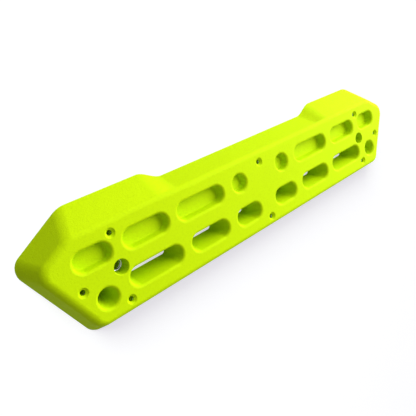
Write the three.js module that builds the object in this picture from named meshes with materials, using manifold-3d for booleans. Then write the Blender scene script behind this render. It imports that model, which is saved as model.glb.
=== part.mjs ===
// A climbing hangboard: one moulded polyurethane body with finger pockets, and the steel washers
// that are cast into its bolt and screw holes.
// Millimetres. +X runs along the board, -Y points out at the climber and +Z points up the wall.
// The origin is on the flat back face, on the centre line, level with the two bolt holes.

import * as THREE from 'three';
import { mergeVertices } from 'three/addons/utils/BufferGeometryUtils.js';
import Module from 'manifold-3d';

const wasm = await Module();
wasm.setup();

// The outline of the back face, before its corners are rounded.
const boardThickness = 36;
const halfLength = 344.7;
const tipHeight = 41.9;
const earHeight = 84.3;
const middleHeight = 71;
const bottomDepth = 71.2;
const upperEndAngle = THREE.MathUtils.degToRad(30.8);
const lowerEndAngle = THREE.MathUtils.degToRad(26);

// The S-shaped step between the raised ears and the lower middle of the top edge.
const stepCentre = 154;
const stepLength = 34;

// How far each wall leans in from the back face to the front face.
const earLean = 29;
const middleLean = 15.7;
const bottomLean = 17.2;
const upperEndLean = 17.8;
const lowerEndLean = 9.9;

// Radii of the rounded front edge, and of the corners of the outline.
const topEdgeRadius = 8;
const bottomEdgeRadius = 7;
const endEdgeRadius = 11;
const tipRadiusBack = 19;
const tipRadiusFront = 22;
const topCornerRadius = 26;
const bottomCornerRadius = 16;

// Finger pockets: the mouths include the rounded lip.
const pocketHeight = 32.1;
const fourFingerWidth = 83.5;
const threeFingerWidth = 70.5;
const twoFingerWidth = 52.9;
const lipRadius = 4;
const floorRadius = 2.6;
const blindDraft = THREE.MathUtils.degToRad(9.5);
const slotDraft = THREE.MathUtils.degToRad(11.4);

// Each row's land to the line through the bolts, its start from the board's centre line and
// the lands between its pockets. The slots of the bottom row lie a little lower towards the
// middle, and the single hole at each end lies lowest.
const landAboveBolts = 9.15;
const landBelowBolts = 4.75;
const topRowStart = 27.55;
const topMonoLand = 11.1;
const topFourLand = 7.7;
const topThreeLand = 9;
const bottomRowStart = 12.95;
const bottomTwoLand = 10.5;
const bottomThreeLand = 9.1;
const bottomFourLand = 12.3;
const twoFingerDrop = 1.8;
const threeFingerDrop = 0.9;
const outerMonoDrop = 5.3;

// Depths of the blind pockets of the top row.
const monoDepth = 11;
const fourFingerDepth = 13.6;
const threeFingerDepth = 12.8;
const twoFingerDepth = 12.8;

// Bolt holes: a counterbore for the head of an M10 cap screw, which narrows to its seat on a cast-in
// washer. The holes near the ends are placed from the tip of the outline.
const boltFromTip = 103.4;
const counterboreRadius = 9.3;
const counterboreSeatRadius = 8.1;
const counterboreDepth = 16;
const boltBoreRadius = 6;
const boltWasherRadius = 11;
const boltWasherThickness = 3;

// Screw holes: a dish for the head, and a washer cast in just under it.
const dishRadius = 6.6;
const dishDepth = 3.8;
const screwBoreRadius = 3.35;
const screwWasherRadius = 8;
const screwWasherThickness = 2;
const screwWasherCover = 1.4;
const upperScrewFromTip = 104.7;
const upperScrewZ = 42;
const outerScrewFromTip = 53.5;
const outerScrewZ = -6;
const lowerScrewFromTip = 101.5;
const lowerScrewZ = -42;
const centreScrewTopZ = 40.6;
const centreScrewBottomZ = -43.4;

// Small clearances and edge breaks.
const washerGap = 0.3;
const holeEdgeBreak = 0.8;
const washerEdgeBreak = 0.4;
const cutOverrun = 3;

// How finely round stretches are divided.
const edgeSteps = 4;
const cornerSteps = 6;
const stepSteps = 8;
const pocketEndSteps = 8;
const lipSteps = 3;
const floorSteps = 3;
const boltSegments = 24;
const screwSegments = 16;

const frontPlane = -boardThickness;

function lerp(a, b, share) {
  return a + (b - a) * share;
}

// Joins rings of equal point counts into a closed body. The rings run from front to back and
// each goes anticlockwise as the climber sees it.
function loft(rings) {
  const count = rings[0].length;
  const positions = rings.flat().flatMap((point) => [point.x, point.y, point.z]);
  const indices = [];
  for (let ring = 0; ring + 1 < rings.length; ring += 1) {
    for (let i = 0; i < count; i += 1) {
      const next = (i + 1) % count;
      const a = ring * count + i;
      const b = ring * count + next;
      indices.push(a, b + count, b, a, a + count, b + count);
    }
  }
  const capStarts = [0, (rings.length - 1) * count];
  for (const start of capStarts) {
    const ring = start === 0 ? rings[0] : rings[rings.length - 1];
    const contour = ring.map((point) => new THREE.Vector2(point.x, point.z));
    for (const [a, b, c] of THREE.ShapeUtils.triangulateShape(contour, [])) {
      const face = start === 0 ? [a, b, c] : [a, c, b];
      indices.push(...face.map((corner) => corner + start));
    }
  }
  const geometry = new THREE.BufferGeometry();
  geometry.setAttribute('position', new THREE.Float32BufferAttribute(positions, 3));
  geometry.setIndex(indices);
  return geometry;
}

// Turns a closed geometry into a solid that can be cut, without the faces that merging flattened.
function solidFrom(geometry) {
  const bare = geometry.clone();
  bare.deleteAttribute('normal');
  bare.deleteAttribute('uv');
  const merged = mergeVertices(bare);
  const faces = [];
  const index = merged.index.array;
  for (let i = 0; i < index.length; i += 3) {
    const [a, b, c] = index.slice(i, i + 3);
    if (a !== b && b !== c && c !== a) {
      faces.push(a, b, c);
    }
  }
  return new wasm.Manifold(new wasm.Mesh({
    numProp: 3,
    vertProperties: new Float32Array(merged.attributes.position.array),
    triVerts: new Uint32Array(faces),
  }));
}

function geometryFrom(solid) {
  const { vertProperties, triVerts } = solid.getMesh();
  const geometry = new THREE.BufferGeometry();
  geometry.setAttribute('position', new THREE.BufferAttribute(vertProperties, 3));
  geometry.setIndex(new THREE.BufferAttribute(triVerts, 1));
  geometry.computeVertexNormals();
  return geometry;
}

// One wall of the board as a list of levels from the front face to the back face: reach is how
// far the wall stands out along its normal, and depth is how far the level lies behind the front.
function wallLevels(backReach, lean, radius) {
  const turn = Math.PI / 2 - Math.atan2(lean, boardThickness);
  const start = backReach - lean - radius * Math.tan(turn / 2);
  const levels = [];
  for (let i = 0; i <= edgeSteps; i += 1) {
    const angle = turn * i / edgeSteps;
    levels.push({ reach: start + radius * Math.sin(angle), depth: radius * (1 - Math.cos(angle)) });
  }
  levels.push({ reach: backReach, depth: boardThickness });
  return levels;
}

function reachOf(angle, x, z) {
  return x * Math.cos(angle) + z * Math.sin(angle);
}

// The walls of the right half. Each normal is given by its angle above +X.
const bottomAngle = -Math.PI / 2;
const lowerNormal = -lowerEndAngle;
const upperNormal = Math.PI / 2 - upperEndAngle;
const topAngle = Math.PI / 2;
const lowerReach = reachOf(lowerNormal, halfLength, tipHeight);
const upperReach = reachOf(upperNormal, halfLength, tipHeight);
const walls = {
  bottom: { angle: bottomAngle, levels: wallLevels(bottomDepth, bottomLean, bottomEdgeRadius) },
  lowerEnd: { angle: lowerNormal, levels: wallLevels(lowerReach, lowerEndLean, endEdgeRadius) },
  upperEnd: { angle: upperNormal, levels: wallLevels(upperReach, upperEndLean, endEdgeRadius) },
  ear: { angle: topAngle, levels: wallLevels(earHeight, earLean, topEdgeRadius) },
  middle: { angle: topAngle, levels: wallLevels(middleHeight, middleLean, topEdgeRadius) },
};

// The arc that rounds the corner between two walls at one level.
function cornerPoints(from, to, level, radius) {
  const a = from.levels[level];
  const b = to.levels[level];
  const spread = Math.sin(to.angle - from.angle);
  const reachA = a.reach - radius;
  const reachB = b.reach - radius;
  const centreX = (reachA * Math.sin(to.angle) - reachB * Math.sin(from.angle)) / spread;
  const centreZ = (reachB * Math.cos(from.angle) - reachA * Math.cos(to.angle)) / spread;
  const points = [];
  for (let i = 0; i <= cornerSteps; i += 1) {
    const share = i / cornerSteps;
    const angle = lerp(from.angle, to.angle, share);
    points.push({
      x: centreX + radius * Math.cos(angle),
      y: frontPlane + lerp(a.depth, b.depth, share),
      z: centreZ + radius * Math.sin(angle),
    });
  }
  return points;
}

// The S-shaped step in the top edge, from the ear down to the middle.
function stepPoints(level) {
  const ear = walls.ear.levels[level];
  const middle = walls.middle.levels[level];
  const points = [];
  for (let i = 0; i <= stepSteps; i += 1) {
    const share = 1 - i / stepSteps;
    const rise = THREE.MathUtils.smoothstep(share, 0, 1);
    points.push({
      x: stepCentre + stepLength * (share - 1 / 2),
      y: frontPlane + lerp(middle.depth, ear.depth, rise),
      z: lerp(middle.reach, ear.reach, rise),
    });
  }
  return points;
}

// The whole outline at one level: the right half, then its mirror image.
function outlineRing(level) {
  const depthShare = walls.lowerEnd.levels[level].depth / boardThickness;
  const frontInset = walls.lowerEnd.levels[edgeSteps].reach - walls.lowerEnd.levels[level].reach;
  const trim = level < edgeSteps ? frontInset : 0;
  const tipRadius = lerp(tipRadiusFront, tipRadiusBack, depthShare) - trim;
  const right = [
    ...cornerPoints(walls.bottom, walls.lowerEnd, level, bottomCornerRadius - trim),
    ...cornerPoints(walls.lowerEnd, walls.upperEnd, level, tipRadius),
    ...cornerPoints(walls.upperEnd, walls.ear, level, topCornerRadius - trim),
    ...stepPoints(level),
  ];
  const left = right.map((point) => ({ ...point, x: -point.x })).reverse();
  return [...right, ...left];
}

// A stadium: a slot outline with round ends, or a circle when it is as wide as it is high.
function stadiumRing(centreX, centreZ, halfWidth, halfHeight, y) {
  const shift = halfWidth - halfHeight;
  const points = [];
  for (const side of [1, -1]) {
    for (let i = 0; i <= pocketEndSteps; i += 1) {
      const angle = Math.PI * (i / pocketEndSteps - 1 / 2);
      points.push({
        x: centreX + side * (shift + halfHeight * Math.cos(angle)),
        y,
        z: centreZ + side * halfHeight * Math.sin(angle),
      });
    }
  }
  return points;
}

// The levels of a pocket's wall: inset is how far the wall has drawn in from the mouth. A pocket
// without a depth of its own is a slot that goes right through.
function pocketLevels(pocket) {
  const isSlot = pocket.depth === undefined;
  const draft = isSlot ? slotDraft : blindDraft;
  const turn = Math.PI / 2 - draft;
  const levels = [{ inset: 0, depth: -cutOverrun }];
  for (let i = 0; i <= lipSteps; i += 1) {
    const angle = turn * i / lipSteps;
    levels.push({ inset: lipRadius * Math.sin(angle), depth: lipRadius * (1 - Math.cos(angle)) });
  }
  const lip = levels[levels.length - 1];
  if (isSlot) {
    const rise = boardThickness - lip.depth;
    const rearInset = lip.inset + rise * Math.tan(draft);
    levels.push({ inset: rearInset, depth: boardThickness });
    levels.push({ inset: rearInset, depth: boardThickness + cutOverrun });
    return levels;
  }
  const wallEnd = pocket.depth - floorRadius * (1 - Math.cos(turn));
  const wallInset = lip.inset + (wallEnd - lip.depth) * Math.tan(draft);
  const floorInset = wallInset + floorRadius * Math.sin(turn);
  for (let i = 0; i <= floorSteps; i += 1) {
    const angle = turn * (1 - i / floorSteps);
    levels.push({
      inset: floorInset - floorRadius * Math.sin(angle),
      depth: pocket.depth - floorRadius * (1 - Math.cos(angle)),
    });
  }
  return levels;
}

function pocketCutter(pocket, side) {
  const rings = pocketLevels(pocket).map((level) => stadiumRing(
    side * pocket.x,
    pocket.z,
    pocket.width / 2 - level.inset,
    pocketHeight / 2 - level.inset,
    frontPlane + level.depth,
  ));
  return loft(rings);
}

// Lays one row of pockets outwards from the centre line.
function layRow(start, z, pockets) {
  let edge = start;
  return pockets.map((pocket) => {
    const x = edge + (pocket.land ?? 0) + pocket.width / 2;
    edge = x + pocket.width / 2;
    return { ...pocket, x, z: z - (pocket.drop ?? 0) };
  });
}

const topRow = layRow(topRowStart, landAboveBolts + pocketHeight / 2, [
  { width: pocketHeight, depth: monoDepth },
  { width: fourFingerWidth, depth: fourFingerDepth, land: topMonoLand },
  { width: threeFingerWidth, depth: threeFingerDepth, land: topFourLand },
  { width: twoFingerWidth, depth: twoFingerDepth, land: topThreeLand },
]);
const bottomRow = layRow(bottomRowStart, -landBelowBolts - pocketHeight / 2, [
  { width: twoFingerWidth, drop: twoFingerDrop },
  { width: threeFingerWidth, land: bottomTwoLand, drop: threeFingerDrop },
  { width: fourFingerWidth, land: bottomThreeLand },
  { width: pocketHeight, land: bottomFourLand, drop: outerMonoDrop },
]);

// A turned solid about the Y axis, from [radius, depth behind the front face] pairs.
function turned(profile, segments) {
  const points = profile.map(([radius, depth]) => new THREE.Vector2(radius, frontPlane + depth));
  return new THREE.LatheGeometry(points, segments);
}

const boltWasherDepth = counterboreDepth;
const screwWasherDepth = dishDepth + screwWasherCover;

// The space that a bolt takes: the counterbore, the washer's groove and the bore.
function boltCutter() {
  const grooveRadius = boltWasherRadius + washerGap;
  const grooveEnd = boltWasherDepth + boltWasherThickness;
  return turned([
    [0, -cutOverrun],
    [counterboreRadius + holeEdgeBreak, -cutOverrun],
    [counterboreRadius + holeEdgeBreak, 0],
    [counterboreRadius, holeEdgeBreak],
    [counterboreSeatRadius, boltWasherDepth],
    [grooveRadius, boltWasherDepth],
    [grooveRadius, grooveEnd],
    [boltBoreRadius, grooveEnd],
    [boltBoreRadius, boardThickness + cutOverrun],
    [0, boardThickness + cutOverrun],
  ], boltSegments);
}

// The space that a screw takes: the dish, the bore and the groove of its washer.
function screwCutter() {
  const grooveRadius = screwWasherRadius + washerGap;
  const grooveEnd = screwWasherDepth + screwWasherThickness;
  return turned([
    [0, -cutOverrun],
    [dishRadius, -cutOverrun],
    [dishRadius, 0],
    [dishRadius - holeEdgeBreak, holeEdgeBreak / 2],
    [screwBoreRadius, dishDepth],
    [screwBoreRadius, screwWasherDepth],
    [grooveRadius, screwWasherDepth],
    [grooveRadius, grooveEnd],
    [screwBoreRadius, grooveEnd],
    [screwBoreRadius, boardThickness + cutOverrun],
    [0, boardThickness + cutOverrun],
  ], screwSegments);
}

// A flat washer whose edges are broken all round.
function washer(innerRadius, outerRadius, depth, thickness, segments) {
  const end = depth + thickness;
  return turned([
    [innerRadius + washerEdgeBreak, depth],
    [outerRadius - washerEdgeBreak, depth],
    [outerRadius, depth + washerEdgeBreak],
    [outerRadius, end - washerEdgeBreak],
    [outerRadius - washerEdgeBreak, end],
    [innerRadius + washerEdgeBreak, end],
    [innerRadius, end - washerEdgeBreak],
    [innerRadius, depth + washerEdgeBreak],
    [innerRadius + washerEdgeBreak, depth],
  ], segments);
}

const boltX = halfLength - boltFromTip;
const upperScrewX = halfLength - upperScrewFromTip;
const outerScrewX = halfLength - outerScrewFromTip;
const lowerScrewX = halfLength - lowerScrewFromTip;
const boltPlaces = [
  { name: 'left', x: -boltX, z: 0 },
  { name: 'right', x: boltX, z: 0 },
];
const screwPlaces = [
  { name: 'upper_left', x: -upperScrewX, z: upperScrewZ },
  { name: 'upper_right', x: upperScrewX, z: upperScrewZ },
  { name: 'outer_left', x: -outerScrewX, z: outerScrewZ },
  { name: 'outer_right', x: outerScrewX, z: outerScrewZ },
  { name: 'lower_left', x: -lowerScrewX, z: lowerScrewZ },
  { name: 'lower_right', x: lowerScrewX, z: lowerScrewZ },
  { name: 'centre_top', x: 0, z: centreScrewTopZ },
  { name: 'centre_bottom', x: 0, z: centreScrewBottomZ },
];

// The moulded body: the lofted outline less every pocket and hole.
function makeBody() {
  const rings = [];
  for (let level = 0; level <= edgeSteps + 1; level += 1) {
    rings.push(outlineRing(level));
  }
  let solid = solidFrom(loft(rings));
  for (const pocket of [...topRow, ...bottomRow]) {
    for (const side of [1, -1]) {
      solid = solid.subtract(solidFrom(pocketCutter(pocket, side)));
    }
  }
  for (const place of boltPlaces) {
    solid = solid.subtract(solidFrom(boltCutter().translate(place.x, 0, place.z)));
  }
  for (const place of screwPlaces) {
    solid = solid.subtract(solidFrom(screwCutter().translate(place.x, 0, place.z)));
  }
  return geometryFrom(solid);
}

const polyurethane = new THREE.MeshStandardMaterial({ color: 0xd3f50a, roughness: 0.62, metalness: 0 });
const zincSteel = new THREE.MeshStandardMaterial({ color: 0xb4b7b4, roughness: 0.35, metalness: 1 });

const hangboard = new THREE.Group();
hangboard.name = 'hangboard';

function addPiece(name, geometry, material, x, z) {
  const mesh = new THREE.Mesh(geometry, material);
  mesh.name = name;
  mesh.position.set(x, 0, z);
  hangboard.add(mesh);
}

addPiece('board_body', makeBody(), polyurethane, 0, 0);
for (const place of boltPlaces) {
  const ring = washer(
    boltBoreRadius, boltWasherRadius, boltWasherDepth, boltWasherThickness, boltSegments,
  );
  addPiece(`bolt_washer_${place.name}`, ring, zincSteel, place.x, place.z);
}
for (const place of screwPlaces) {
  const ring = washer(
    screwBoreRadius, screwWasherRadius, screwWasherDepth, screwWasherThickness, screwSegments,
  );
  addPiece(`screw_washer_${place.name}`, ring, zincSteel, place.x, place.z);
}

export default hangboard;
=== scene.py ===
import math

import bmesh
import bpy
from mathutils import Matrix, Vector


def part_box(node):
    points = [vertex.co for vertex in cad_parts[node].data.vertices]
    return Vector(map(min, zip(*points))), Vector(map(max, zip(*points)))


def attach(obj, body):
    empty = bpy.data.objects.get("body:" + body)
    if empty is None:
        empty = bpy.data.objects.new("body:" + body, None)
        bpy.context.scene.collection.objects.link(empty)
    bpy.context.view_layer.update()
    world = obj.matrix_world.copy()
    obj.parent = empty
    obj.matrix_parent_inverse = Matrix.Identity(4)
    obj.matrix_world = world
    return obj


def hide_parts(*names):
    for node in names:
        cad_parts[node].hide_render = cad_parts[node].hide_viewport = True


# A climbing hangboard: a moulded polyurethane board with steel washers cast into its holes.
# Metres, in the part's own frame: +X along the board, -Y out at the climber, +Z up the wall.

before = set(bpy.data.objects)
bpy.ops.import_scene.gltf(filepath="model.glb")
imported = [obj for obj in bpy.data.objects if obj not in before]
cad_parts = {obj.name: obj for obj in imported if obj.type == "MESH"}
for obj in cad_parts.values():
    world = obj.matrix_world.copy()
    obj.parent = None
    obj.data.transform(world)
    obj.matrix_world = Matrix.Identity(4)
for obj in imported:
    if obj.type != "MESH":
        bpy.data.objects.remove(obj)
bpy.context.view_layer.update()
print("frame loaded:", len(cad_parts), "nodes")

mm = 0.001
tiny = 0.001 * mm                    # as good as nothing, for merging and comparing
straightOut = 0.999                  # how squarely a face looks to the front to count as flat
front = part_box("board_body")[0].y    # plane of the front face; the flat back is at y = 0
thickness = -front


# Colour and node helpers

def toLinear(hexColour):
    channels = []
    for i in (0, 2, 4):
        value = int(hexColour[i:i + 2], 16) / 255
        channels.append(value / 12.92 if value <= 0.04045 else ((value + 0.055) / 1.055) ** 2.4)
    return (*channels, 1)


def addNode(tree, kind, inputs=None, **settings):
    # Inputs go by name, or by number where several share a name. On a colour Mix node, inputs 6
    # and 7 are the two colours and output 2 is their mixture.
    node = tree.nodes.new(kind)
    for name, value in settings.items():
        setattr(node, name, value)
    for key, value in (inputs or {}).items():
        if isinstance(value, bpy.types.NodeSocket):
            tree.links.new(value, node.inputs[key])
        else:
            node.inputs[key].default_value = value
    return node


def newMaterial(name):
    material = bpy.data.materials.new(name)
    material.use_nodes = True
    material.node_tree.nodes.clear()
    return material, material.node_tree


# Camera

camera = {
    "place": (-393.932 * mm, -464.842 * mm, 172.578 * mm),
    "turned": (72.3306, 15.7636, -38.8598),    # degrees
    "lens": 36.087,                            # millimetres, like the film
    "film": 36,
    "nearest": 10 * mm,
}


def placeCamera():
    data = bpy.data.cameras.new("photoCamera")
    data.lens = camera["lens"]
    data.sensor_width = camera["film"]
    data.clip_start = camera["nearest"]
    eye = bpy.data.objects.new("photoCamera", data)
    eye.location = camera["place"]
    eye.rotation_euler = [math.radians(angle) for angle in camera["turned"]]
    bpy.context.scene.collection.objects.link(eye)
    bpy.context.scene.camera = eye


placeCamera()
print("camera placed")


# Light

studio = {
    "roomStrength": 0.33,
    # Place, size and power of each lamp. Each is aimed at the middle of the board.
    "keyLamp": ((1.57, -1.2, 0.8), 2.6, 123),      # on the board alone
    "cardLamp": ((-3.2, -4.6, 7.0), 6.4, 1040),    # on the card alone
    "backLamp": ((-0.9, 2.4, 1.5), 1.6, 60),       # on everything, from behind
}


def seenDirectly(tree):
    # 1 for camera, mirror and glass rays, 0 for the rays that carry light.
    path = addNode(tree, "ShaderNodeLightPath")
    either = addNode(tree, "ShaderNodeMath", {
        0: path.outputs["Is Camera Ray"], 1: path.outputs["Is Glossy Ray"],
    }, operation="MAXIMUM")
    return addNode(tree, "ShaderNodeMath", {
        0: either.outputs[0], 1: path.outputs["Is Transmission Ray"],
    }, operation="MAXIMUM").outputs[0]


def placeLamp(name, place, size, power):
    data = bpy.data.lights.new(name, "AREA")
    data.size = size
    data.energy = power
    lamp = bpy.data.objects.new(name, data)
    lamp.location = place
    lamp.rotation_euler = (-Vector(place)).to_track_quat("-Z", "Y").to_euler()
    bpy.context.scene.collection.objects.link(lamp)
    return lamp


def linkLamp(lamp, piece, state):
    # Lights only this piece, or everything but it.
    group = bpy.data.collections.new(lamp.name + "Pieces")
    group.objects.link(piece)
    group.collection_objects[0].light_linking.link_state = state
    lamp.light_linking.receiver_collection = group


def lightRoom():
    world = bpy.data.worlds.new("paleRoom")
    world.use_nodes = True
    tree = world.node_tree
    tree.nodes.clear()
    white = (1, 1, 1, 1)
    light = addNode(tree, "ShaderNodeBackground", {
        "Color": white, "Strength": studio["roomStrength"],
    })
    seen = addNode(tree, "ShaderNodeBackground", {"Color": white, "Strength": 1.0})
    mixed = addNode(tree, "ShaderNodeMixShader", {
        0: seenDirectly(tree), 1: light.outputs[0], 2: seen.outputs[0],
    })
    addNode(tree, "ShaderNodeOutputWorld", {"Surface": mixed.outputs[0]})
    bpy.context.scene.world = world
    bpy.context.scene.view_settings.view_transform = "Standard"


lightRoom()
print("room lit")


# Materials

polyurethane = {
    "fresh": "BCDC03",
    "faded": "B6D603",
    "fleckGreen": "A7C803",
    "patchSize": 55 * mm,
    "patchDetail": 2.0,
    "fleckSize": 2.6 * mm,         # real flecks are under 1 mm; drawn coarser so that they show
    "fleckDetail": 3.0,
    "fleckHarshness": 0.6,
    "fleckFrom": 0.48,             # no fleck where the noise is lower, a full one above the next
    "fleckTo": 0.78,
    "fleckMost": 0.5,              # how much of its own green a full fleck shows
    "grainSize": 1.5 * mm,         # real blasted grain is about 0.4 mm; coarser so that it shows
    "grainDetail": 4.0,
    "grainHarshness": 0.65,
    "grainHeight": 0.36 * mm,
    "swellSize": 14 * mm,
    "swellDetail": 1.0,
    "swellHeight": 0.12 * mm,
    "roughness": (0.6, 0.74),      # in the lows of the grain, and on its highs
    "ior": 1.5,
    "specular": 0.04,              # the matt grain swallows most of the gloss
}


def castPolyurethane():
    # Pigmented two-part polyurethane, cast in a mould taken from a sandblasted master: dull, one
    # colour right through, with a fine sandy grain and hardly any gloss.
    p = polyurethane
    material, tree = newMaterial("castPolyurethane")
    where = addNode(tree, "ShaderNodeTexCoord").outputs["Object"]
    patches = addNode(tree, "ShaderNodeTexNoise", {
        "Vector": where, "Scale": 1 / p["patchSize"], "Detail": p["patchDetail"],
    })
    flecks = addNode(tree, "ShaderNodeTexNoise", {
        "Vector": where, "Scale": 1 / p["fleckSize"], "Detail": p["fleckDetail"],
        "Roughness": p["fleckHarshness"],
    })
    flecksOnly = addNode(tree, "ShaderNodeMapRange", {
        "Value": flecks.outputs["Fac"], "From Min": p["fleckFrom"], "From Max": p["fleckTo"],
        "To Max": p["fleckMost"],
    })
    ground = addNode(tree, "ShaderNodeMix", {
        "Factor": patches.outputs["Fac"], 6: toLinear(p["fresh"]), 7: toLinear(p["faded"]),
    }, data_type="RGBA")
    colour = addNode(tree, "ShaderNodeMix", {
        "Factor": flecksOnly.outputs["Result"], 6: ground.outputs[2], 7: toLinear(p["fleckGreen"]),
    }, data_type="RGBA")
    grain = addNode(tree, "ShaderNodeTexNoise", {
        "Vector": where, "Scale": 1 / p["grainSize"], "Detail": p["grainDetail"],
        "Roughness": p["grainHarshness"],
    })
    swell = addNode(tree, "ShaderNodeTexNoise", {
        "Vector": where, "Scale": 1 / p["swellSize"], "Detail": p["swellDetail"],
    })
    swellBump = addNode(tree, "ShaderNodeBump", {
        "Height": swell.outputs["Fac"], "Strength": 1.0, "Distance": p["swellHeight"],
    })
    grainBump = addNode(tree, "ShaderNodeBump", {
        "Height": grain.outputs["Fac"], "Strength": 1.0, "Distance": p["grainHeight"],
        "Normal": swellBump.outputs["Normal"],
    })
    dullness = addNode(tree, "ShaderNodeMapRange", {
        "Value": grain.outputs["Fac"], "To Min": p["roughness"][0], "To Max": p["roughness"][1],
    })
    surface = addNode(tree, "ShaderNodeBsdfPrincipled", {
        "Base Color": colour.outputs[2], "Roughness": dullness.outputs["Result"], "IOR": p["ior"],
        "Specular IOR Level": p["specular"], "Normal": grainBump.outputs["Normal"],
    })
    addNode(tree, "ShaderNodeOutputMaterial", {"Surface": surface.outputs["BSDF"]})
    return material


zincSteel = {
    "bright": "C9CCCA",
    "dull": "A3A7A6",
    "spangleSize": 2.2 * mm,
    "scratchSize": 0.35 * mm,
    "scratchDetail": 3.0,
    "scratchHeight": 0.02 * mm,
    "roughness": (0.12, 0.34),     # at the bottom of the scratches, and between them
}


def zincPlatedSteel():
    # Stamped mild steel, barrel tumbled and zinc plated: a soft grey shine, slightly patchy, with
    # fine tumbling marks.
    z = zincSteel
    material, tree = newMaterial("zincPlatedSteel")
    where = addNode(tree, "ShaderNodeTexCoord").outputs["Object"]
    spangle = addNode(tree, "ShaderNodeTexVoronoi", {
        "Vector": where, "Scale": 1 / z["spangleSize"],
    })
    scratches = addNode(tree, "ShaderNodeTexNoise", {
        "Vector": where, "Scale": 1 / z["scratchSize"], "Detail": z["scratchDetail"],
    })
    colour = addNode(tree, "ShaderNodeMix", {
        "Factor": spangle.outputs["Distance"], 6: toLinear(z["bright"]), 7: toLinear(z["dull"]),
    }, data_type="RGBA")
    shine = addNode(tree, "ShaderNodeMapRange", {
        "Value": scratches.outputs["Fac"], "To Min": z["roughness"][0], "To Max": z["roughness"][1],
    })
    bump = addNode(tree, "ShaderNodeBump", {
        "Height": scratches.outputs["Fac"], "Strength": 1.0, "Distance": z["scratchHeight"],
    })
    surface = addNode(tree, "ShaderNodeBsdfPrincipled", {
        "Base Color": colour.outputs[2], "Metallic": 1.0, "Roughness": shine.outputs["Result"],
        "Normal": bump.outputs["Normal"],
    })
    addNode(tree, "ShaderNodeOutputMaterial", {"Surface": surface.outputs["BSDF"]})
    return material


boardMaterial = castPolyurethane()
washerMaterial = zincPlatedSteel()
print("materials made")


# Mesh helpers

shading = {
    "sharpFrom": 38,         # degrees between two faces from which the edge stays sharp
    "flatWeight": 100,       # large flat faces keep their own shading
}


def toObject(bm, name):
    mesh = bpy.data.meshes.new(name)
    bm.to_mesh(mesh)
    bm.free()
    made = bpy.data.objects.new(name, mesh)
    bpy.context.scene.collection.objects.link(made)
    return made


def applyModifiers(made):
    graph = bpy.context.evaluated_depsgraph_get()
    mesh = bpy.data.meshes.new_from_object(made.evaluated_get(graph))
    made.modifiers.clear()
    spent = made.data
    made.data = mesh
    bpy.data.meshes.remove(spent)


def spin(bm, edges, steps):
    # Turns a profile that lies in the XY plane once about the Y axis. Each of its vertices is
    # listed once, in the profile's order.
    verts = list(dict.fromkeys(v for edge in edges for v in edge.verts))
    bmesh.ops.spin(
        bm, geom=verts + edges, axis=(0, 1, 0), cent=(0, 0, 0), angle=2 * math.pi,
        steps=steps, use_merge=True,
    )
    bmesh.ops.remove_doubles(bm, verts=bm.verts, dist=tiny)
    bmesh.ops.recalc_face_normals(bm, faces=bm.faces)


def finish(piece, node, material):
    # Soft shading across the rounds, flat faces kept flat, and the piece set on its body.
    piece.data.materials.clear()
    piece.data.materials.append(material)
    piece.data.shade_smooth()
    piece.data.set_sharp_from_angle(angle=math.radians(shading["sharpFrom"]))
    level = piece.modifiers.new("flatFaces", "WEIGHTED_NORMAL")
    level.keep_sharp = True
    level.weight = shading["flatWeight"]
    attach(piece, "root")
    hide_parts(node)


# The blank of the board: walls that lean in towards the front, and rounded corners and edges

blank = {
    # Length, heights and depth are those of the back, and a lean is how much nearer the middle
    # the wall is at the front.
    "halfLength": 344.7 * mm,  # to the tip, before its corner is rounded
    "tipHeight": 41.9 * mm,
    "earHeight": 84.3 * mm,
    "middleHeight": 71 * mm,
    "bottomDepth": 71.2 * mm,
    "upperEndFaces": 59.2,     # degrees above +X at which an end wall looks
    "lowerEndFaces": -26,
    "earLean": 29 * mm,
    "bottomLean": 17.2 * mm,
    "upperEndLean": 17.8 * mm,
    "lowerEndLean": 9.9 * mm,
    "stepCentre": 154 * mm,
    "stepLength": 34 * mm,
    "stepCuts": 16,
    "corners": [               # radius, degrees turned, and between which heights it lies
        (26 * mm, 30.8, 60 * mm, 90 * mm),
        (17.6 * mm, 85.2, 20 * mm, 55 * mm),
        (16 * mm, 64, -80 * mm, -50 * mm),
    ],
    "cornerStep": 1.1,         # degrees; small, so that the bevel over it can change its width
    "edgeSegments": 10,
    "topEdge": 8 * mm,
    "endEdge": 11 * mm,
    "bottomEdge": 7 * mm,
}


def wallReach(angle):
    # How far the wall through the tip stands from the origin, measured along the way it faces.
    return blank["halfLength"] * math.cos(angle) + blank["tipHeight"] * math.sin(angle)


def cutWall(bm, degrees, reach, lean, side=1):
    angle = math.radians(degrees)
    cut = bmesh.ops.bisect_plane(
        bm, geom=bm.verts[:] + bm.edges[:] + bm.faces[:], dist=tiny, clear_outer=True,
        plane_co=(side * reach * math.cos(angle), 0, reach * math.sin(angle)),
        plane_no=(side * math.cos(angle), -lean / thickness, math.sin(angle)),
    )
    rim = [item for item in cut["geom_cut"] if isinstance(item, bmesh.types.BMEdge)]
    bmesh.ops.edgeloop_fill(bm, edges=rim)


def roundCorner(bm, radius, turned, low, high):
    chosen = []
    for edge in bm.edges:
        depths = sorted(v.co.y for v in edge.verts)
        height = sum(v.co.z for v in edge.verts) / 2
        if depths[0] < front + tiny and depths[1] > -tiny and low < height < high:
            chosen.append(edge)
    bmesh.ops.bevel(
        bm, geom=chosen, affect="EDGES", offset=radius * math.tan(math.radians(turned) / 2),
        offset_type="OFFSET", segments=math.ceil(turned / blank["cornerStep"]),
        profile=0.5, material=-1,
    )


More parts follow.
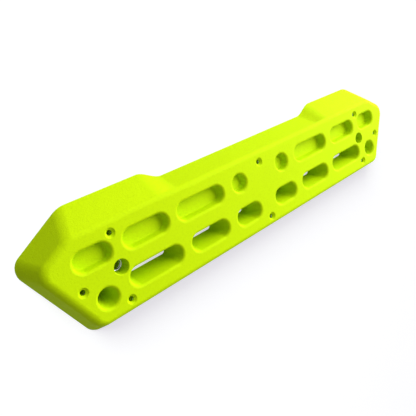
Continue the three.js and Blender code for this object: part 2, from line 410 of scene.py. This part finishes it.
def lowerMiddle(bm):
    # The middle of the top edge drops below the ears, by an S-shaped step at each end.
    for side in (1, -1):
        for i in range(blank["stepCuts"] + 1):
            share = i / blank["stepCuts"] - 1 / 2
            bmesh.ops.bisect_plane(
                bm, geom=bm.verts[:] + bm.edges[:] + bm.faces[:], dist=tiny,
                plane_co=(side * (blank["stepCentre"] + blank["stepLength"] * share), 0, 0),
                plane_no=(1, 0, 0),
            )
    for v in bm.verts:
        if v.co.y > -tiny and v.co.z > blank["middleHeight"] + tiny:
            share = (abs(v.co.x) - blank["stepCentre"]) / blank["stepLength"] + 1 / 2
            share = min(max(share, 0), 1)
            rise = share * share * (3 - 2 * share)
            if share < 1:
                v.co.z = blank["middleHeight"] + (blank["earHeight"] - blank["middleHeight"]) * rise


def edgeRadius(normal, middle):
    # The front edge is rounded most at the pointed ends and least along the bottom.
    faces = math.degrees(math.atan2(normal.z, abs(normal.x)))
    if faces > blank["upperEndFaces"]:
        share = (faces - blank["upperEndFaces"]) / (90 - blank["upperEndFaces"])
        if abs(middle.x) < blank["stepCentre"] + blank["stepLength"]:
            share = 1
        return blank["endEdge"] + (blank["topEdge"] - blank["endEdge"]) * share
    if faces < blank["lowerEndFaces"]:
        share = (faces + 90) / (90 + blank["lowerEndFaces"])
        return blank["bottomEdge"] + (blank["endEdge"] - blank["bottomEdge"]) * share
    if abs(middle.x) < blank["stepCentre"] + blank["stepLength"]:
        return blank["topEdge"]
    return blank["endEdge"]


def roundFrontEdge(bm):
    # Sets how wide each stretch of the front edge is bevelled, and returns the widest.
    weight = bm.edges.layers.float.new("bevel_weight_edge")
    widths = {}
    for edge in bm.edges:
        facing = [face.normal.y < -straightOut for face in edge.link_faces]
        if len(facing) != 2 or facing[0] == facing[1]:
            continue
        wall = edge.link_faces[0 if facing[1] else 1]
        turned = wall.normal.angle(Vector((0, -1, 0)))
        middle = (edge.verts[0].co + edge.verts[1].co) / 2
        widths[edge] = edgeRadius(wall.normal, middle) * math.tan(turned / 2)
    widest = max(widths.values())
    for edge, width in widths.items():
        edge[weight] = width / widest
    return widest


def makeBlank():
    bm = bmesh.new()
    bmesh.ops.create_cube(bm, size=1)
    tall = blank["earHeight"] + blank["bottomDepth"]
    bmesh.ops.scale(bm, verts=bm.verts, vec=(2 * blank["halfLength"], thickness, tall))
    bmesh.ops.translate(bm, verts=bm.verts, vec=(0, front / 2, tall / 2 - blank["bottomDepth"]))
    cutWall(bm, 90, blank["earHeight"], blank["earLean"])
    cutWall(bm, -90, blank["bottomDepth"], blank["bottomLean"])
    for side in (1, -1):
        upper = math.radians(blank["upperEndFaces"])
        lower = math.radians(blank["lowerEndFaces"])
        cutWall(bm, blank["upperEndFaces"], wallReach(upper), blank["upperEndLean"], side)
        cutWall(bm, blank["lowerEndFaces"], wallReach(lower), blank["lowerEndLean"], side)
    for corner in blank["corners"]:
        roundCorner(bm, *corner)
    lowerMiddle(bm)
    bmesh.ops.recalc_face_normals(bm, faces=bm.faces)
    bm.normal_update()
    widest = roundFrontEdge(bm)
    made = toObject(bm, "hangboard_body")
    bevel = made.modifiers.new("frontEdge", "BEVEL")
    bevel.limit_method = "WEIGHT"
    bevel.offset_type = "OFFSET"
    bevel.width = widest
    bevel.segments = blank["edgeSegments"]
    bevel.profile = 0.5
    bevel.use_clamp_overlap = False
    applyModifiers(made)
    return made


# The pockets and holes, as turned cutters. A profile is a list of radius and depth from the front.

cutting = {
    "lipStart": 8,             # degrees round the lip where a cutter begins, for a clean cut
    "rise": 0.3 * mm,
    "overrun": 3 * mm,
    "lipSteps": 9,
    "floorSteps": 7,
    "pocketSteps": 96,
    "holeSteps": 64,
}

pockets = {
    "height": 32.1 * mm,
    "widths": {"one": 32.1 * mm, "two": 52.9 * mm, "three": 70.5 * mm, "four": 83.5 * mm},
    "lip": 4 * mm,
    "floorRound": 2.6 * mm,
    "blindDraft": 9.5,         # degrees by which the walls of the blind ones lean in
    "slotDraft": 12.4,         # and those of the slots
    "landAbove": 9.15 * mm,
    "landBelow": 4.75 * mm,
    "topStart": 27.55 * mm,
    "bottomStart": 12.95 * mm,
    # Each row from the middle outwards: fingers, land before it, and its depth or its drop.
    "topRow": [
        ("one", 0, 11 * mm),
        ("four", 11.1 * mm, 13.6 * mm),
        ("three", 7.7 * mm, 12.8 * mm),
        ("two", 9 * mm, 12.8 * mm),
    ],
    "bottomRow": [
        ("two", 0, 1.8 * mm),
        ("three", 10.5 * mm, 0.9 * mm),
        ("four", 9.1 * mm, 0),
        ("one", 12.3 * mm, 5.3 * mm),
    ],
}

holes = {
    # The bores, the seat, the dish and the counterbore are radii.
    "counterbore": 9.3 * mm,
    "counterboreSeat": 8.1 * mm,
    "boltBore": 6 * mm,
    "dish": 6.6 * mm,
    "dishDepth": 2.6 * mm,
    "dishSlope": 48.5,         # degrees between its wall and the bore's
    "screwBore": 3.35 * mm,
    "edge": 0.8 * mm,
    "washerGap": 0.3 * mm,
}


def lipProfile(radius, lip, draft):
    first = math.radians(cutting["lipStart"])
    last = math.radians(90 - draft)
    points = []
    for i in range(cutting["lipSteps"] + 1):
        angle = first + (last - first) * i / cutting["lipSteps"]
        points.append((radius - lip * math.sin(angle), lip * (1 - math.cos(angle))))
    outside = points[0][0] + (points[0][1] + cutting["rise"]) / math.tan(first)
    return [(0, -cutting["rise"]), (outside, -cutting["rise"])] + points


def blindProfile(depth):
    draft = math.radians(pockets["blindDraft"])
    points = lipProfile(pockets["height"] / 2, pockets["lip"], pockets["blindDraft"])
    radius, lipDepth = points[-1]
    floorRound = pockets["floorRound"]
    turned = math.pi / 2 - draft
    wallEnd = depth - floorRound * (1 - math.cos(turned))
    centre = radius - (wallEnd - lipDepth) * math.tan(draft) - floorRound * math.sin(turned)
    for i in range(cutting["floorSteps"] + 1):
        angle = turned * (1 - i / cutting["floorSteps"])
        rise = floorRound * (1 - math.cos(angle))
        points.append((centre + floorRound * math.sin(angle), depth - rise))
    return points + [(0, depth)]


def slotProfile():
    draft = math.radians(pockets["slotDraft"])
    points = lipProfile(pockets["height"] / 2, pockets["lip"], pockets["slotDraft"])
    radius, lipDepth = points[-1]
    end = thickness + cutting["overrun"]
    return points + [(radius - (end - lipDepth) * math.tan(draft), end), (0, end)]


def washerSeat(node):
    # Where a washer lies: its outer radius, and its two faces measured from the front.
    low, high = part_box(node)
    return (high.x - low.x) / 2, low.y - front, high.y - front


def boreProfile(points, bore, node):
    radius, start, end = washerSeat(node)
    groove = radius + holes["washerGap"]
    last = thickness + cutting["overrun"]
    return points + [(groove, start), (groove, end), (bore, end), (bore, last), (0, last)]


def boltProfile(node):
    points = lipProfile(holes["counterbore"] + holes["edge"], holes["edge"], 0)
    points.append((holes["counterboreSeat"], washerSeat(node)[1]))
    return boreProfile(points, holes["boltBore"], node)


def screwProfile(node):
    points = lipProfile(holes["dish"], holes["edge"], holes["dishSlope"])
    points.append((holes["screwBore"], holes["dishDepth"]))
    points.append((holes["screwBore"], washerSeat(node)[1]))
    return boreProfile(points, holes["screwBore"], node)


def addCutter(allCutters, profile, x, z, width=0, steps=None):
    bm = bmesh.new()
    verts = [bm.verts.new((radius, front + depth, 0)) for radius, depth in profile]
    edges = [bm.edges.new(pair) for pair in zip(verts, verts[1:])]
    steps = steps or cutting["pocketSteps"]
    spin(bm, edges, steps)
    if width:
        # Pulls the two halves apart, so that the round shape becomes a long one.
        halfStep = Matrix.Rotation(math.pi / steps, 3, "Y")
        bmesh.ops.rotate(bm, verts=bm.verts, cent=(0, 0, 0), matrix=halfStep)
        for side in (1, -1):
            half = [v for v in bm.verts if v.co.x * side > tiny]
            bmesh.ops.translate(bm, verts=half, vec=(side * width / 2, 0, 0))
    bmesh.ops.translate(bm, verts=bm.verts, vec=(x, 0, z))
    mesh = bpy.data.meshes.new("oneCutter")
    bm.to_mesh(mesh)
    bm.free()
    allCutters.from_mesh(mesh)
    bpy.data.meshes.remove(mesh)


def addPockets(allCutters):
    height = pockets["height"]
    rows = [
        (pockets["topRow"], pockets["topStart"], pockets["landAbove"] + height / 2, True),
        (pockets["bottomRow"], pockets["bottomStart"], -pockets["landBelow"] - height / 2, False),
    ]
    for row, edge, level, blind in rows:
        for fingers, land, figure in row:
            width = pockets["widths"][fingers]
            x = edge + land + width / 2
            edge = x + width / 2
            profile = blindProfile(figure) if blind else slotProfile()
            z = level if blind else level - figure
            for side in (1, -1):
                addCutter(allCutters, profile, side * x, z, width - height)


def addHoles(allCutters):
    for node in sorted(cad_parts):
        if node == "board_body":
            continue
        low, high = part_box(node)
        middle = (low + high) / 2
        profile = boltProfile(node) if node.startswith("bolt") else screwProfile(node)
        addCutter(allCutters, profile, middle.x, middle.z, steps=cutting["holeSteps"])


def makeBoard():
    board = makeBlank()
    print("blank made:", len(board.data.polygons), "faces")
    allCutters = bmesh.new()
    addPockets(allCutters)
    addHoles(allCutters)
    cutters = toObject(allCutters, "cutters")
    cut = board.modifiers.new("cutPockets", "BOOLEAN")
    cut.operation = "DIFFERENCE"
    cut.solver = "EXACT"
    cut.object = cutters
    applyModifiers(board)
    bpy.data.objects.remove(cutters)
    print("pockets cut:", len(board.data.polygons), "faces")
    finish(board, "board_body", boardMaterial)
    return board


board = makeBoard()


# Washers, turned from a rectangle with rounded corners

washer = {
    "edge": 0.4 * mm,
    "innerEdge": 1.3 * mm,     # rolled over by the punch, where it catches the light
    "edgeSegments": 6,
    "steps": 72,
}


def makeWasher(node):
    radius, start, end = washerSeat(node)
    bore = holes["boltBore"] if node.startswith("bolt") else holes["screwBore"]
    low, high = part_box(node)
    bm = bmesh.new()
    corners = [(bore, start), (radius, start), (radius, end), (bore, end)]
    section = bm.faces.new([bm.verts.new((r, front + depth, 0)) for r, depth in corners])
    inner, *others = section.verts[:]
    for verts, width in ((others, washer["edge"]), ([inner], washer["innerEdge"])):
        bmesh.ops.bevel(
            bm, geom=verts, affect="VERTICES", offset=width,
            segments=washer["edgeSegments"], profile=0.5, material=-1,
        )
    bmesh.ops.delete(bm, geom=bm.faces[:], context="FACES_ONLY")
    spin(bm, bm.edges[:], washer["steps"])
    bmesh.ops.translate(bm, verts=bm.verts, vec=((low.x + high.x) / 2, 0, (low.z + high.z) / 2))
    finish(toObject(bm, node + "_turned"), node, washerMaterial)


for node in sorted(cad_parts):
    if node != "board_body":
        makeWasher(node)
print("washers made")


# The white card that the board lies on

card = {
    "half": 4,                 # metres from its middle to each side
    "gap": 0.1 * mm,           # behind the flat back of the board
    "thickness": 0.2 * mm,
    "cutBehind": 0.4 * mm,     # where the board is cut across for the opening behind it
    "glow": "CCC6D4",          # seen even in shadow: white paper, a little cold
    "paper": "B7BFB0",
    "paperForLight": "B4B4B6",
}


def whiteCard():
    # Matt white paper. It hardly colours the light that it throws back, and is clear from behind.
    material, tree = newMaterial("mattPaper")
    sides = addNode(tree, "ShaderNodeNewGeometry")
    seen = seenDirectly(tree)
    paper = addNode(tree, "ShaderNodeMix", {
        "Factor": seen, 6: toLinear(card["paperForLight"]), 7: toLinear(card["paper"]),
    }, data_type="RGBA")
    matt = addNode(tree, "ShaderNodeBsdfDiffuse", {"Color": paper.outputs[2]})
    glow = addNode(tree, "ShaderNodeEmission", {"Color": toLinear(card["glow"]), "Strength": seen})
    both = addNode(tree, "ShaderNodeAddShader", {0: matt.outputs[0], 1: glow.outputs[0]})
    clear = addNode(tree, "ShaderNodeBsdfTransparent")
    behind = addNode(tree, "ShaderNodeMath", {
        0: sides.outputs["Backfacing"], 1: seen,
    }, operation="MULTIPLY")
    mixed = addNode(tree, "ShaderNodeMixShader", {
        0: behind.outputs[0], 1: both.outputs[0], 2: clear.outputs[0],
    })
    addNode(tree, "ShaderNodeOutputMaterial", {"Surface": mixed.outputs[0]})
    return material


def placeCard(board):
    # A thin slab with the board's outline cut out behind the board, where light from the back
    # gets at it. Only the slab's front is kept.
    bm = bmesh.new()
    bmesh.ops.create_cube(bm, size=1)
    bmesh.ops.scale(bm, verts=bm.verts, vec=(2 * card["half"], card["thickness"], 2 * card["half"]))
    bmesh.ops.translate(bm, verts=bm.verts, vec=(0, card["gap"] + card["thickness"] / 2, 0))
    made = toObject(bm, "backdrop")
    outline = bpy.data.objects.new("outline", board.data.copy())
    outline.data.transform(Matrix.Translation((0, card["cutBehind"], 0)))
    bpy.context.scene.collection.objects.link(outline)
    opening = made.modifiers.new("opening", "BOOLEAN")
    opening.operation = "DIFFERENCE"
    opening.solver = "EXACT"
    opening.object = outline
    applyModifiers(made)
    bpy.data.objects.remove(outline)
    bm = bmesh.new()
    bm.from_mesh(made.data)
    hidden = [face for face in bm.faces if face.normal.y > -straightOut]
    bmesh.ops.delete(bm, geom=hidden, context="FACES")
    bm.to_mesh(made.data)
    bm.free()
    made.data.materials.clear()
    made.data.materials.append(whiteCard())
    return made


backdrop = placeCard(board)
linkLamp(placeLamp("keyLamp", *studio["keyLamp"]), backdrop, "EXCLUDE")
linkLamp(placeLamp("cardLamp", *studio["cardLamp"]), backdrop, "INCLUDE")
placeLamp("backLamp", *studio["backLamp"])
print("card and lamps placed")
